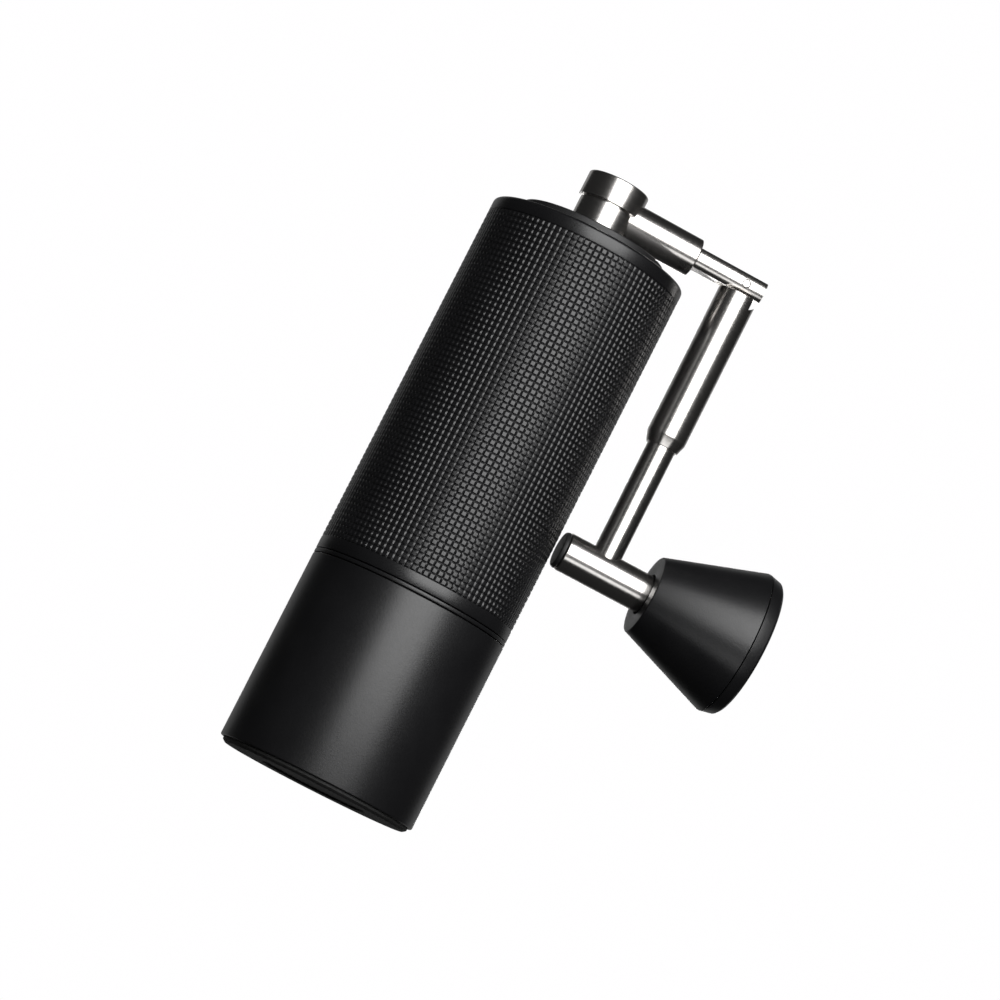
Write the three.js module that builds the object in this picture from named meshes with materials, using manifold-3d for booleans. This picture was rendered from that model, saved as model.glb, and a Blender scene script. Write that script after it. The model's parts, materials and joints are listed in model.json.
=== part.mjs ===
// Hand crank coffee grinder with a folding handle.
// Millimetres, +Z up. The origin is the centre of the base, and +Z is the axis of the barrel.
// The handle lies in the XZ plane and is folded down beside the barrel, on the +X side.

import * as THREE from 'three';
import * as BufferGeometryUtils from 'three/addons/utils/BufferGeometryUtils.js';
import Module from 'manifold-3d';

const wasm = await Module();
wasm.setup();

// ---------- Driving dimensions ----------

const SEGMENTS_LARGE = 36;
const SEGMENTS_SMALL = 16;
const GAP = 0.3;                    // between touching pieces
const FIT = 0.12;                   // radial clearance of a close fit

const BARREL_RADIUS = 26;
const WALL = 2;
const BORE_RADIUS = BARREL_RADIUS - WALL;

const BASE_EDGE_Z = 1.3;            // lowest edge of the cup wall, just above the base pad
const PAD_RADIUS = BARREL_RADIUS - 1;
const CUP_UNDERSIDE_Z = 2.5;
const CUP_FLOOR_Z = 4.7;
const SEAL_STEP_RADIUS = BORE_RADIUS + 0.8;
const SEAL_STEP_DEPTH = 1.6;
const CUP_TOP_Z = 51;
const COLLAR_TOP_Z = 52.2;
const SHELL_BOTTOM_Z = 52.4;
const SHELL_TOP_Z = 149.8;
const SHELL_LIP_Z = 146.6;          // where the shell thickens into its lip
const SEAT_RADIUS = 23.4;           // step in the lip that the lid's flange drops into
const SEAT_Z = 149;

const FRAME_RADIUS = BORE_RADIUS - 0.25;
const HOUSING_BOTTOM_Z = 41;
const HOUSING_TOP_Z = 76;
const THROAT_RADIUS = 17;           // narrow end of the funnel above the burrs
const THROAT_Z = 62.5;
const BRACKET_HEIGHT = 6;
const LOWER_BRACKET_Z = HOUSING_TOP_Z + GAP;
const UPPER_BRACKET_Z = 118;
const BRACKET_ARMS = 3;
const BRACKET_ARM_WIDTH = 4;
const BRACKET_HUB_RADIUS = 9;
const BRACKET_ARM_HEIGHT = 4;

const AXLE_RADIUS = 3.5;
const AXLE_BOTTOM_Z = 33.5;
const AXLE_TOP_Z = 157;
const HEX_BOTTOM_Z = 140;
const HEX_RADIUS = 3.4;
const BEARING_RADIUS = 7;
const BEARING_HEIGHT = 5;
const BALL_RADIUS = 0.6;
const BALL_COUNT = 7;
const RACE_CLEARANCE = 0.7;     // from the ball circle to each race

const BURR_BOTTOM_Z = 44.8;
const BURR_TOP_Z = 62;
const BURR_BOTTOM_RADIUS = 19;
const BURR_TOP_RADIUS = 9.5;
const BURR_TEETH = 24;
const RING_BURR_RADIUS = 22.2;
const RING_BURR_BOTTOM_Z = 44.6;
const RING_BURR_TOP_Z = 59.2;
const SPRING_BOTTOM_Z = BURR_TOP_Z + 1.6;
const SPRING_TOP_Z = BURR_TOP_Z + 10.6;
const SPRING_TURNS = 4;
const SPRING_COIL_RADIUS = 4.9;
const SPRING_WIRE_RADIUS = 0.55;
const WASHER_BOTTOM_Z = SPRING_TOP_Z + 0.8;

const DIAL_BOTTOM_Z = 36.4;
const DIAL_TOP_Z = 43.2;
const DIAL_RADIUS = 10.5;
const DIAL_LOBES = 20;
const DIAL_BORE_RADIUS = AXLE_RADIUS + 0.15;
const CLICK_NOTCHES = 12;

const LID_RADIUS = 19.3;            // raised disc in the middle of the lid
const LID_DISC_Z = 152.5;
const LID_BOSS_RADIUS = 7.2;
const LID_TOP_Z = 152.9;
const LIP_RADIUS = 22.3;            // inside of the lip at the top of the shell
const LID_PLUG_RADIUS = LIP_RADIUS - 0.3;
const LID_PLUG_BOTTOM_Z = 145.9;
const LID_GROOVE_BOTTOM_Z = 146.8;
const LID_GROOVE_TOP_Z = 148.6;
const LID_GROOVE_DEPTH = 1.3;

const HUB_LOWER_RADIUS = 7.35;
const HUB_UPPER_RADIUS = 8.1;
const HUB_BOTTOM_Z = 153.2;
const HUB_GROOVE_Z = 160.5;
const HUB_TOP_Z = 167.1;
const STEM_RADIUS = 5.3;
const STEM_BOTTOM_Z = 144.6;
const LID_BORE_RADIUS = STEM_RADIUS + 1;
const HUB_PLUG_RADIUS = 5.4;
const HUB_PLUG_DEPTH = 1.3;

const ARM_Z = 160;                  // height of the arm's axis and of the hinge pin
const SOCKET_RADIUS = 5;
const SOCKET_START_X = 4.5;
const SOCKET_END_X = 25.1;
const FORK_END_X = 44.4;
const FORK_RADIUS = 3.65;
const FORK_HEIGHT = 5.2;
const TENON_RADIUS = 2.5;
const TENON_DEPTH = 8.5;
const SLOT_WIDTH = 3.2;
const HINGE_X = 39.2;               // distance from the barrel's axis to the hinge pin
const HINGE_PIN_RADIUS = 1;
const TONGUE_THICKNESS = 2.8;
const TONGUE_RADIUS = 2.5;
const SWEEP_RADIUS = 6.6;           // the fork's corners stay inside this, measured from the hinge pin

const ROD_RADIUS = 3.7;
const SLEEVE_RADIUS = 5.15;
const SLEEVE_TOP_Z = 157.1;
const SLEEVE_BOTTOM_Z = 114;
const SPINDLE_Z = 79.7;             // height of the knob's axis
const SPINDLE_RADIUS = 5;
const SPINDLE_START_X = 28.8;
const SPINDLE_PIN_RADIUS = 2.5;
const SPINDLE_END_X = 74.3;
const SCREW_RADIUS = 1.3;
const SCREW_DEPTH = 7;
const SCREW_HEAD_RADIUS = 4;
const KNOB_START_X = 52;
const KNOB_SEAM_X = 77.6;
const KNOB_END_X = 81.5;
const KNOB_NARROW_RADIUS = 10.3;
const KNOB_WIDE_RADIUS = 19.1;
const KNOB_POCKET_X = 73.5;           // floor of the pocket for the screw head
const KNOB_POCKET_RADIUS = 8;
const KNOB_RECESS_DEPTH = 3;
const KNOB_MOUTH_RADIUS = SPINDLE_RADIUS + 0.5;

// ---------- Materials ----------

const finish = {
  blackAluminium: { color: 0x1b1b1d, roughness: 0.5, metalness: 0.6 },
  steel: { color: 0xc4bfba, roughness: 0.2, metalness: 1 },
  burrSteel: { color: 0x8d8d90, roughness: 0.35, metalness: 1 },
  blackPlastic: { color: 0x141415, roughness: 0.6, metalness: 0 },
  rubber: { color: 0x0e0e0e, roughness: 0.85, metalness: 0 },
  brass: { color: 0xb08d4f, roughness: 0.35, metalness: 1 },
};

// ---------- Geometry helpers ----------

const grinder = new THREE.Group();

// A three.js geometry as a Manifold solid: shared vertices merged, faces out.
function toSolid(geometry) {
  const source = geometry.clone();
  source.deleteAttribute('normal');
  source.deleteAttribute('uv');
  const merged = BufferGeometryUtils.mergeVertices(source, 1e-4);
  const vertProperties = new Float32Array(merged.attributes.position.array);
  const index = merged.index.array;
  const corner = (i) => new THREE.Vector3().fromArray(vertProperties, 3 * i);
  const triangles = [];
  let volume = 0;
  for (let i = 0; i < index.length; i += 3) {
    const [a, b, c] = [index[i], index[i + 1], index[i + 2]];
    if (a === b || b === c || c === a) continue;
    triangles.push([a, b, c]);
    volume += corner(a).dot(corner(b).cross(corner(c)));
  }
  const outward = volume > 0 ? triangles : triangles.map(([a, b, c]) => [a, c, b]);
  const triVerts = new Uint32Array(outward.flat());
  return new wasm.Manifold(new wasm.Mesh({ numProp: 3, vertProperties, triVerts }));
}

function toGeometry(solid) {
  const mesh = solid.getMesh();
  const geometry = new THREE.BufferGeometry();
  geometry.setAttribute('position', new THREE.BufferAttribute(new Float32Array(mesh.vertProperties), 3));
  geometry.setIndex(new THREE.BufferAttribute(new Uint32Array(mesh.triVerts), 1));
  const faceted = geometry.toNonIndexed();
  faceted.computeVertexNormals();
  return faceted;
}

// Adds one solid to the model as a named mesh, optionally turned or moved into place.
function addPart(name, solid, surface, { parent = grinder, position = [0, 0, 0], rotationY = 0 } = {}) {
  const mesh = new THREE.Mesh(toGeometry(solid), new THREE.MeshStandardMaterial(surface));
  mesh.name = name;
  mesh.position.set(...position);
  mesh.rotation.y = rotationY;
  parent.add(mesh);
  return mesh;
}

// A turned solid about Z. The outline is [radius, z] points, closed on itself or ending on the axis.
function turned(outline, segments = SEGMENTS_SMALL) {
  const points = outline.map(([radius, z]) => new THREE.Vector2(radius, z));
  const first = outline[0];
  const last = outline[outline.length - 1];
  if (first[0] > 0 || last[0] > 0) points.push(points[0].clone());
  const geometry = new THREE.LatheGeometry(points, segments);
  geometry.rotateX(Math.PI / 2);
  return toSolid(geometry);
}

function disc(radius, bottom, top, segments = SEGMENTS_SMALL) {
  return turned([[0, bottom], [radius, bottom], [radius, top], [0, top]], segments);
}

function ring(inner, outer, bottom, top, segments = SEGMENTS_SMALL) {
  return turned([[inner, bottom], [outer, bottom], [outer, top], [inner, top]], segments);
}

function box(sizeX, sizeY, sizeZ, x, y, z) {
  return toSolid(new THREE.BoxGeometry(sizeX, sizeY, sizeZ).translate(x, y, z));
}

// A solid drawn along Z, turned so that its Z runs along +X at the given height.
function alongX(solid, height) {
  return solid.rotate([0, 90, 0]).translate([0, 0, height]);
}

// A solid drawn along Z, turned so that its Z runs along Y through the hinge pin.
function acrossHinge(solid) {
  return solid.rotate([90, 0, 0]).translate([HINGE_X, 0, ARM_Z]);
}

// A closed outline with a number of teeth between two radii.
function toothedOutline(tipRadius, rootRadius, teeth) {
  const points = [];
  for (let i = 0; i < 2 * teeth; i += 1) {
    const radius = i % 2 === 0 ? tipRadius : rootRadius;
    const angle = (Math.PI * i) / teeth;
    points.push(new THREE.Vector2(radius * Math.cos(angle), radius * Math.sin(angle)));
  }
  return points;
}

// Extrudes a shape between two heights, scaling and twisting it on the way up.
function tapered(shape, bottom, top, { topScale = 1, twist = 0, steps = 1 } = {}) {
  const height = top - bottom;
  const geometry = new THREE.ExtrudeGeometry(shape, { depth: height, bevelEnabled: false, steps });
  const position = geometry.attributes.position;
  for (let i = 0; i < position.count; i += 1) {
    const share = position.getZ(i) / height;
    const x = position.getX(i);
    const y = position.getY(i);
    const scale = 1 + (topScale - 1) * share;
    const angle = twist * share;
    position.setX(i, scale * (x * Math.cos(angle) - y * Math.sin(angle)));
    position.setY(i, scale * (x * Math.sin(angle) + y * Math.cos(angle)));
  }
  return toSolid(geometry.translate(0, 0, bottom));
}

function circlePath(radius, segments) {
  const points = [];
  for (let i = 0; i < segments; i += 1) {
    const angle = (2 * Math.PI * i) / segments;
    points.push(new THREE.Vector2(radius * Math.cos(angle), radius * Math.sin(angle)));
  }
  return points;
}

// ---------- Catch cup ----------

function buildCup() {
  const cup = turned([
    [0, CUP_UNDERSIDE_Z],
    [PAD_RADIUS + 0.2, CUP_UNDERSIDE_Z],
    [PAD_RADIUS + 0.2, BASE_EDGE_Z],
    [BARREL_RADIUS - 0.4, BASE_EDGE_Z],
    [BARREL_RADIUS, BASE_EDGE_Z + 0.4],
    [BARREL_RADIUS, CUP_TOP_Z - 0.2],
    [BARREL_RADIUS - 0.2, CUP_TOP_Z],
    [SEAL_STEP_RADIUS, CUP_TOP_Z],
    [SEAL_STEP_RADIUS, CUP_TOP_Z - SEAL_STEP_DEPTH],
    [BORE_RADIUS, CUP_TOP_Z - SEAL_STEP_DEPTH],
    [BORE_RADIUS, CUP_FLOOR_Z + 1],
    [BORE_RADIUS - 1, CUP_FLOOR_Z],
    [0, CUP_FLOOR_Z],
  ], SEGMENTS_LARGE);
  addPart('catch_cup', cup, finish.blackAluminium);

  const pad = turned([
    [0, 0],
    [PAD_RADIUS - 0.8, 0],
    [PAD_RADIUS, 0.5],
    [PAD_RADIUS, CUP_UNDERSIDE_Z - GAP],
    [0, CUP_UNDERSIDE_Z - GAP],
  ], SEGMENTS_LARGE);
  addPart('base_pad', pad, finish.rubber);

  const sealBottomZ = CUP_TOP_Z - SEAL_STEP_DEPTH + GAP;
  const seal = ring(BORE_RADIUS, SEAL_STEP_RADIUS - FIT, sealBottomZ, CUP_TOP_Z - 0.1, SEGMENTS_LARGE);
  addPart('cup_seal', seal, finish.rubber);

  const collar = ring(FRAME_RADIUS + FIT, BARREL_RADIUS, CUP_TOP_Z + 0.2, COLLAR_TOP_Z, SEGMENTS_LARGE);
  addPart('collar_ring', collar, finish.blackAluminium);
}

// ---------- Barrel shell and the frame inside it ----------

function buildBarrel() {
  const shell = turned([
    [BORE_RADIUS, SHELL_BOTTOM_Z],
    [BARREL_RADIUS - 0.2, SHELL_BOTTOM_Z],
    [BARREL_RADIUS, SHELL_BOTTOM_Z + 0.2],
    [BARREL_RADIUS, SHELL_TOP_Z - 0.8],
    [BARREL_RADIUS - 0.8, SHELL_TOP_Z],
    [SEAT_RADIUS, SHELL_TOP_Z],
    [SEAT_RADIUS, SEAT_Z],
    [LIP_RADIUS, SEAT_Z],
    [LIP_RADIUS, SHELL_LIP_Z],
    [BORE_RADIUS, SHELL_LIP_Z],
  ], SEGMENTS_LARGE);
  addPart('barrel_shell', shell, finish.blackAluminium);

  const recessRadius = RING_BURR_RADIUS + 0.2;
  const recessTopZ = RING_BURR_TOP_Z + GAP;
  const housing = turned([
    [recessRadius, HOUSING_BOTTOM_Z],
    [FRAME_RADIUS, HOUSING_BOTTOM_Z],
    [FRAME_RADIUS, HOUSING_TOP_Z],
    [FRAME_RADIUS - 1, HOUSING_TOP_Z],
    [THROAT_RADIUS, THROAT_Z],
    [THROAT_RADIUS, recessTopZ],
    [recessRadius, recessTopZ],
  ], SEGMENTS_LARGE);
  addPart('burr_housing', housing, finish.blackPlastic);

  const retainerTopZ = RING_BURR_BOTTOM_Z - GAP;
  const retainer = ring(20.6, recessRadius - FIT, HOUSING_BOTTOM_Z + 1, retainerTopZ, SEGMENTS_LARGE);
  addPart('ring_burr_retainer', retainer, finish.brass);

  const linerBottomZ = LOWER_BRACKET_Z + BRACKET_HEIGHT + GAP;
  const liner = ring(FRAME_RADIUS - 1.1, FRAME_RADIUS, linerBottomZ, UPPER_BRACKET_Z - GAP, SEGMENTS_LARGE);
  addPart('hopper_liner', liner, finish.blackPlastic);

  const circlipZ = UPPER_BRACKET_Z + BRACKET_HEIGHT + GAP;
  const circlip = ring(FRAME_RADIUS - 1.4, FRAME_RADIUS, circlipZ, circlipZ + 1.2, SEGMENTS_LARGE)
    .subtract(box(4, 6, 6, FRAME_RADIUS, 0, circlipZ));
  addPart('frame_circlip', circlip, finish.steel);
}

// A ring, a bearing cup and three arms between them. The pocket is open on its lower side.
function bearingBracket(bottom) {
  const top = bottom + BRACKET_HEIGHT;
  const outer = ring(FRAME_RADIUS - 1.3, FRAME_RADIUS, bottom, top, SEGMENTS_LARGE);
  let bracket = outer.add(disc(BRACKET_HUB_RADIUS, bottom, top));
  const armStart = BRACKET_HUB_RADIUS - 1;
  const armLength = FRAME_RADIUS - 0.7 - armStart;
  const armZ = bottom + BRACKET_ARM_HEIGHT / 2;
  for (let i = 0; i < BRACKET_ARMS; i += 1) {
    const arm = box(armLength, BRACKET_ARM_WIDTH, BRACKET_ARM_HEIGHT, armStart + armLength / 2, 0, armZ)
      .rotate([0, 0, 60 + (360 * i) / BRACKET_ARMS]);
    bracket = bracket.add(arm);
  }
  const pocket = disc(BEARING_RADIUS + FIT, bottom - 1, bottom + BEARING_HEIGHT);
  const hole = disc(AXLE_RADIUS + 1, bottom - 1, top + 1);
  return bracket.subtract(pocket).subtract(hole);
}

function buildBearing(place, bottom) {
  const low = bottom + 0.2;
  const high = bottom + BEARING_HEIGHT - GAP;
  const middle = (low + high) / 2;
  const pitchRadius = (AXLE_RADIUS + FIT + BEARING_RADIUS) / 2;
  const outerRace = ring(pitchRadius + RACE_CLEARANCE, BEARING_RADIUS, low, high);
  addPart(`${place}_bearing_outer_race`, outerRace, finish.steel);
  const innerRace = ring(AXLE_RADIUS + FIT, pitchRadius - RACE_CLEARANCE, low, high);
  addPart(`${place}_bearing_inner_race`, innerRace, finish.steel);

  let cage = ring(pitchRadius - 0.25, pitchRadius + 0.25, middle - 0.9, middle + 0.9);
  for (let i = 0; i < BALL_COUNT; i += 1) {
    const angle = (2 * Math.PI * i) / BALL_COUNT;
    const ball = new THREE.SphereGeometry(BALL_RADIUS, 6, 4);
    ball.translate(pitchRadius * Math.cos(angle), pitchRadius * Math.sin(angle), middle);
    cage = cage.add(toSolid(ball));
  }
  addPart(`${place}_bearing_ball_cage`, cage, finish.brass);
}

// ---------- Axle, burrs and adjustment ----------

function buildAxle() {
  const round = turned([
    [0, AXLE_BOTTOM_Z],
    [AXLE_RADIUS - 0.6, AXLE_BOTTOM_Z],
    [AXLE_RADIUS, AXLE_BOTTOM_Z + 0.6],
    [AXLE_RADIUS, HEX_BOTTOM_Z],
    [0, HEX_BOTTOM_Z],
  ]);
  const hex = disc(HEX_RADIUS, HEX_BOTTOM_Z - 1, AXLE_TOP_Z, 6);
  addPart('axle', round.add(hex), finish.steel);

  const circlipZ = UPPER_BRACKET_Z + BEARING_HEIGHT + 3.5;
  const circlip = ring(AXLE_RADIUS + 0.05, AXLE_RADIUS + 1.6, circlipZ, circlipZ + 0.8)
    .subtract(box(3, 2.4, 3, AXLE_RADIUS + 1, 0, circlipZ));
  addPart('axle_circlip', circlip, finish.steel);
  const washer = ring(AXLE_RADIUS + FIT, AXLE_RADIUS + 2.6, WASHER_BOTTOM_Z, WASHER_BOTTOM_Z + 0.8);
  addPart('spring_washer', washer, finish.steel);
}

// A helical compression spring of one wire, with a round section.
function buildSpring() {
  class Helix extends THREE.Curve {
    getPoint(t) {
      const angle = 2 * Math.PI * SPRING_TURNS * t;
      const x = SPRING_COIL_RADIUS * Math.cos(angle);
      const y = SPRING_COIL_RADIUS * Math.sin(angle);
      return new THREE.Vector3(x, y, SPRING_BOTTOM_Z + (SPRING_TOP_Z - SPRING_BOTTOM_Z) * t);
    }
  }
  const section = new THREE.Shape(circlePath(SPRING_WIRE_RADIUS, 6));
  const settings = { steps: SPRING_TURNS * 12, extrudePath: new Helix(), bevelEnabled: false };
  addPart('burr_spring', toSolid(new THREE.ExtrudeGeometry(section, settings)), finish.steel);
}

function buildBurrs() {
  const shape = new THREE.Shape(toothedOutline(BURR_BOTTOM_RADIUS, BURR_BOTTOM_RADIUS - 1.6, BURR_TEETH));
  const cone = tapered(shape, BURR_BOTTOM_Z, BURR_TOP_Z, {
    topScale: BURR_TOP_RADIUS / BURR_BOTTOM_RADIUS,
    twist: -0.5,
    steps: 4,
  });
  const bore = disc(AXLE_RADIUS + FIT, BURR_BOTTOM_Z - 1, BURR_TOP_Z + 1);
  addPart('inner_burr', cone.subtract(bore), finish.burrSteel);

  const tipRadius = BURR_BOTTOM_RADIUS + 0.9;
  const mouth = toothedOutline(tipRadius, tipRadius + 1.2, BURR_TEETH);
  const slope = (BURR_BOTTOM_RADIUS - BURR_TOP_RADIUS) / (BURR_TOP_Z - BURR_BOTTOM_Z);
  const rise = RING_BURR_TOP_Z - RING_BURR_BOTTOM_Z;
  const cavity = tapered(new THREE.Shape(mouth), RING_BURR_BOTTOM_Z - 1, RING_BURR_TOP_Z + 1, {
    topScale: (tipRadius + 1.4 - slope * (rise + 2)) / tipRadius,
    twist: 0.3,
    steps: 3,
  });
  const blank = disc(RING_BURR_RADIUS, RING_BURR_BOTTOM_Z, RING_BURR_TOP_Z, SEGMENTS_LARGE);
  addPart('ring_burr', blank.subtract(cavity), finish.burrSteel);
}

function buildDial() {
  const knurl = new THREE.Shape(toothedOutline(DIAL_RADIUS, DIAL_RADIUS - 0.7, DIAL_LOBES));
  const wheel = tapered(knurl, DIAL_BOTTOM_Z, DIAL_TOP_Z);
  const bore = disc(DIAL_BORE_RADIUS, DIAL_BOTTOM_Z - 1, DIAL_TOP_Z + 1);
  addPart('adjustment_dial', wheel.subtract(bore), finish.blackAluminium);
  const plateRadius = DIAL_RADIUS - 2;
  let clickPlate = ring(DIAL_BORE_RADIUS, plateRadius, DIAL_TOP_Z + GAP, BURR_BOTTOM_Z - GAP);
  for (let i = 0; i < CLICK_NOTCHES; i += 1) {
    const notch = box(1.6, 1, 4, plateRadius, 0, DIAL_TOP_Z + 1).rotate([0, 0, (360 * i) / CLICK_NOTCHES]);
    clickPlate = clickPlate.subtract(notch);
  }
  addPart('click_plate', clickPlate, finish.steel);
}

// ---------- Lid ----------

function buildLid() {
  const flangeZ = SEAT_Z + 0.2;
  const flangeTopZ = SHELL_TOP_Z + 0.1;
  const lid = turned([
    [LID_BORE_RADIUS, LID_PLUG_BOTTOM_Z],
    [LID_PLUG_RADIUS, LID_PLUG_BOTTOM_Z],
    [LID_PLUG_RADIUS, LID_GROOVE_BOTTOM_Z],
    [LID_PLUG_RADIUS - LID_GROOVE_DEPTH, LID_GROOVE_BOTTOM_Z],
    [LID_PLUG_RADIUS - LID_GROOVE_DEPTH, LID_GROOVE_TOP_Z],
    [LID_PLUG_RADIUS, LID_GROOVE_TOP_Z],
    [LID_PLUG_RADIUS, flangeZ],
    [SEAT_RADIUS - 0.2, flangeZ],
    [SEAT_RADIUS - 0.2, flangeTopZ],
    [LID_RADIUS, flangeTopZ],
    [LID_RADIUS, LID_DISC_Z - 0.3],
    [LID_RADIUS - 0.3, LID_DISC_Z],
    [LID_BOSS_RADIUS, LID_DISC_Z],
    [LID_BOSS_RADIUS, LID_TOP_Z],
    [LID_BORE_RADIUS, LID_TOP_Z],
  ], SEGMENTS_LARGE);
  addPart('lid', lid, finish.blackPlastic);

  const sealRadius = 0.7;
  const sealCentre = LID_PLUG_RADIUS - 0.6;
  const sealZ = (LID_GROOVE_BOTTOM_Z + LID_GROOVE_TOP_Z) / 2;
  const section = circlePath(sealRadius, 8).map((p) => [sealCentre + p.x, sealZ + p.y]);
  addPart('lid_seal', turned(section, SEGMENTS_LARGE), finish.rubber);

  const bush = ring(STEM_RADIUS + FIT, LID_BORE_RADIUS - FIT, LID_PLUG_BOTTOM_Z, LID_TOP_Z);
  addPart('lid_bush', bush, finish.brass);
}

// ---------- Crank: hub, arm socket and hinge fork ----------

function buildHub() {
  const body = turned([
    [0, STEM_BOTTOM_Z],
    [STEM_RADIUS, STEM_BOTTOM_Z],
    [STEM_RADIUS, STEM_BOTTOM_Z + 0.4],
    [STEM_RADIUS - 0.5, STEM_BOTTOM_Z + 0.4],
    [STEM_RADIUS - 0.5, STEM_BOTTOM_Z + 1.2],
    [STEM_RADIUS, STEM_BOTTOM_Z + 1.2],
    [STEM_RADIUS, HUB_BOTTOM_Z],
    [HUB_LOWER_RADIUS, HUB_BOTTOM_Z],
    [HUB_LOWER_RADIUS, HUB_GROOVE_Z - 0.2],
    [HUB_LOWER_RADIUS - 0.4, HUB_GROOVE_Z - 0.2],
    [HUB_LOWER_RADIUS - 0.4, HUB_GROOVE_Z + 0.2],
    [HUB_UPPER_RADIUS, HUB_GROOVE_Z + 0.2],
    [HUB_UPPER_RADIUS, HUB_TOP_Z - 0.5],
    [HUB_UPPER_RADIUS - 0.5, HUB_TOP_Z],
    [HUB_PLUG_RADIUS + 0.2, HUB_TOP_Z],
    [HUB_PLUG_RADIUS + 0.2, HUB_TOP_Z - HUB_PLUG_DEPTH - GAP],
    [0, HUB_TOP_Z - HUB_PLUG_DEPTH - GAP],
  ]);
  const hexSocket = disc(HEX_RADIUS + 0.25, STEM_BOTTOM_Z - 1, AXLE_TOP_Z + 0.6, 6);
  const crossBore = alongX(disc(SOCKET_RADIUS + FIT, SOCKET_START_X - GAP, 12), ARM_Z);
  addPart('crank_hub', body.subtract(hexSocket).subtract(crossBore), finish.steel);

  const plug = turned([
    [0, HUB_TOP_Z - HUB_PLUG_DEPTH],
    [HUB_PLUG_RADIUS, HUB_TOP_Z - HUB_PLUG_DEPTH],
    [HUB_PLUG_RADIUS, HUB_TOP_Z - 0.2],
    [HUB_PLUG_RADIUS - 0.2, HUB_TOP_Z],
    [0, HUB_TOP_Z],
  ]);
  addPart('hub_plug', plug, finish.steel);

  const circlip = ring(STEM_RADIUS - 0.4, STEM_RADIUS + 1.3, STEM_BOTTOM_Z + 0.5, STEM_BOTTOM_Z + 1.1)
    .subtract(box(3, 4, 3, -STEM_RADIUS - 0.5, 0, STEM_BOTTOM_Z));
  addPart('hub_circlip', circlip, finish.steel);
}

function buildArmSocket() {
  const outline = [
    [0, SOCKET_START_X],
    [SOCKET_RADIUS, SOCKET_START_X],
    [SOCKET_RADIUS, SOCKET_END_X - 0.3],
    [SOCKET_RADIUS - 0.3, SOCKET_END_X],
    [TENON_RADIUS + 0.1, SOCKET_END_X],
    [TENON_RADIUS + 0.1, SOCKET_END_X - TENON_DEPTH - 0.5],
    [0, SOCKET_END_X - TENON_DEPTH - 0.5],
  ];
  addPart('arm_socket', alongX(turned(outline), ARM_Z), finish.steel);

  const tenon = alongX(disc(TENON_RADIUS, SOCKET_END_X - TENON_DEPTH, SOCKET_END_X + 1), ARM_Z);
  const forkStartX = SOCKET_END_X + GAP;
  const slotStartX = HINGE_X - SWEEP_RADIUS;
  const slotLength = FORK_END_X + 1 - slotStartX;
  const flats = box(80, 20, FORK_HEIGHT, 40, 0, ARM_Z);
  const bar = alongX(disc(FORK_RADIUS, forkStartX, FORK_END_X), ARM_Z).intersect(flats);
  const slot = box(slotLength, SLOT_WIDTH, 20, slotStartX + slotLength / 2, 0, ARM_Z);
  const pinHole = acrossHinge(disc(HINGE_PIN_RADIUS + FIT, -10, 10));
  addPart('hinge_fork', bar.subtract(slot).subtract(pinHole).add(tenon), finish.steel);

  const pin = acrossHinge(disc(HINGE_PIN_RADIUS, -FORK_RADIUS + 0.1, FORK_RADIUS - 0.1));
  addPart('hinge_pin', pin, finish.steel);
}

// ---------- Folding arm, locking sleeve and knob spindle ----------

function buildArm() {
  const rodEndZ = SPINDLE_Z - 1.4;
  const shoulderZ = ARM_Z - SWEEP_RADIUS;
  const rod = turned([
    [0, rodEndZ],
    [ROD_RADIUS, rodEndZ],
    [ROD_RADIUS, shoulderZ],
    [0, shoulderZ],
  ]).translate([HINGE_X, 0, 0]);
  const eye = acrossHinge(disc(TONGUE_RADIUS, -TONGUE_THICKNESS / 2, TONGUE_THICKNESS / 2));
  const neckHeight = ARM_Z - shoulderZ + 1;
  const neckZ = ARM_Z - neckHeight / 2;
  const neck = box(2 * TONGUE_RADIUS, TONGUE_THICKNESS, neckHeight, HINGE_X, 0, neckZ);
  const pinHole = acrossHinge(disc(HINGE_PIN_RADIUS + FIT, -10, 10));
  addPart('arm_rod', rod.add(neck).add(eye).subtract(pinHole), finish.steel);

  const sleeveBore = ROD_RADIUS + 0.15;
  const tube = turned([
    [sleeveBore, SLEEVE_BOTTOM_Z],
    [SLEEVE_RADIUS - 0.9, SLEEVE_BOTTOM_Z],
    [SLEEVE_RADIUS, SLEEVE_BOTTOM_Z + 2.8],
    [SLEEVE_RADIUS, SLEEVE_TOP_Z],
    [sleeveBore, SLEEVE_TOP_Z],
  ]).translate([HINGE_X, 0, 0]);
  const sweep = acrossHinge(disc(SWEEP_RADIUS, -FORK_RADIUS - 0.3, FORK_RADIUS + 0.3));
  const reliefSize = 20;
  const reliefStartX = HINGE_X + 1;
  const outerSide = box(reliefSize, reliefSize, reliefSize, reliefStartX + reliefSize / 2, 0, ARM_Z);
  addPart('lock_sleeve', tube.subtract(sweep.intersect(outerSide)), finish.steel);
}

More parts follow.
